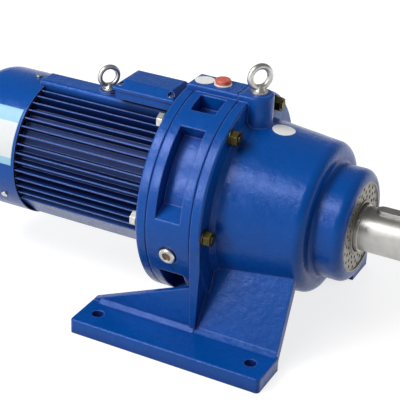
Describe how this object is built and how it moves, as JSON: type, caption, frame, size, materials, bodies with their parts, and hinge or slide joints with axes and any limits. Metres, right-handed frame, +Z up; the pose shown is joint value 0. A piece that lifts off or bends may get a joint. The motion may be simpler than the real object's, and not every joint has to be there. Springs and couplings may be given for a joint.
{
  "type": "cycloidal gearmotor",
  "caption": "Foot-mounted cycloidal reducer with a finned flange motor, pin-gear housing, lobed discs on a double eccentric, keyed output shaft and lifting eyes.",
  "frame": {"origin": "on the floor, in the middle of the four foot bolt holes", "axes": "+X along the shaft towards the output end, +Z up, +Y to the far side"},
  "size_m": [0.9025, 0.515, 0.4804],
  "materials": {
    "gear_enamel": "glossy blue enamel",
    "motor_enamel": "glossy dark blue enamel",
    "bright_zinc": "bright zinc plate",
    "yellow_zinc": "yellow passivated zinc",
    "ground_steel": "ground steel",
    "turned_steel": "turned grey steel",
    "bearing_steel": "hardened and polished",
    "seal_rubber": "matt",
    "sight_glass": "clear glass over oil",
    "copper_wire": "varnished copper",
    "brass_stud": "bright brass",
    "cast_aluminium": "as cast",
    "grey_iron": "as cast",
    "core_steel": "stacked sheet",
    "black_plastic": "moulded",
    "board_plastic": "moulded",
    "gland_plastic": "moulded"
  },
  "bodies": {
    "frame": {"base_housing": "gear_enamel", "pin_gear_housing": "gear_enamel", "motor_flange": "gear_enamel", "ring_pins": "bearing_steel", "ring_pin_sleeves": "bearing_steel", "oil_seal": "seal_rubber", "seal_cover": "turned_steel", "tie_bolts": "bright_zinc", "tie_bolt_nuts": "yellow_zinc", "tie_bolt_washers": "bright_zinc", "reducer_eyebolt": "bright_zinc", "sight_glass_body": "bright_zinc", "sight_glass_lens": "sight_glass", "drain_plug": "bright_zinc", "input_oil_seal": "seal_rubber", "motor_frame": "motor_enamel", "stator_core": "core_steel", "stator_windings": "copper_wire", "rear_end_shield": "grey_iron", "end_shield_screws": "bright_zinc", "fan_cowl": "motor_enamel", "cowl_screws": "bright_zinc", "terminal_box": "motor_enamel", "terminal_box_lid": "motor_enamel", "lid_screws": "bright_zinc", "terminal_board": "board_plastic", "terminal_studs": "brass_stud", "cable_gland": "gland_plastic", "motor_eyebolt": "bright_zinc", "output_rear_bearing_outer_race": "bearing_steel", "output_rear_bearing_rollers": "bearing_steel", "output_front_bearing_outer_race": "bearing_steel", "output_front_bearing_rollers": "bearing_steel", "motor_drive_bearing_outer_race": "bearing_steel", "motor_drive_bearing_rollers": "bearing_steel", "motor_tail_bearing_outer_race": "bearing_steel", "motor_tail_bearing_rollers": "bearing_steel"},
    "output": {"output_shaft": "ground_steel", "output_pins": "bearing_steel", "output_pin_sleeves": "bearing_steel", "output_key": "ground_steel", "bearing_spacer": "bearing_steel", "disc_spacer": "bearing_steel", "output_rear_bearing_inner_race": "bearing_steel", "output_front_bearing_inner_race": "bearing_steel"},
    "rotor": {"motor_shaft": "ground_steel", "rotor_core": "core_steel", "rotor_end_rings": "cast_aluminium", "eccentric_sleeve": "bearing_steel", "eccentric_key": "ground_steel", "eccentric_rollers_a": "bearing_steel", "eccentric_rollers_b": "bearing_steel", "motor_drive_bearing_inner_race": "bearing_steel", "motor_tail_bearing_inner_race": "bearing_steel", "fan": "black_plastic"},
    "disc_a": {"cycloid_disc_a": "bearing_steel"},
    "disc_b": {"cycloid_disc_b": "bearing_steel"}
  },
  "joints": [
    {"name": "output_spin", "type": "hinge", "parent": "frame", "child": "output", "pos_m": [0, 0, 0.22], "axis": [1, 0, 0], "continuous": true},
    {"name": "rotor_spin", "type": "hinge", "parent": "frame", "child": "rotor", "pos_m": [0, 0, 0.22], "axis": [1, 0, 0], "continuous": true},
    {"name": "disc_a_spin", "type": "hinge", "parent": "rotor", "child": "disc_a", "pos_m": [-0.0435, 0.006, 0.22], "axis": [1, 0, 0], "continuous": true},
    {"name": "disc_b_spin", "type": "hinge", "parent": "rotor", "child": "disc_b", "pos_m": [-0.0135, -0.006, 0.22], "axis": [1, 0, 0], "continuous": true}
  ],
  "couplings": [
    {"joint": "rotor_spin", "follows": "output_spin", "ratio": -11},
    {"joint": "disc_a_spin", "follows": "output_spin", "ratio": 12},
    {"joint": "disc_b_spin", "follows": "output_spin", "ratio": 12}
  ]
}
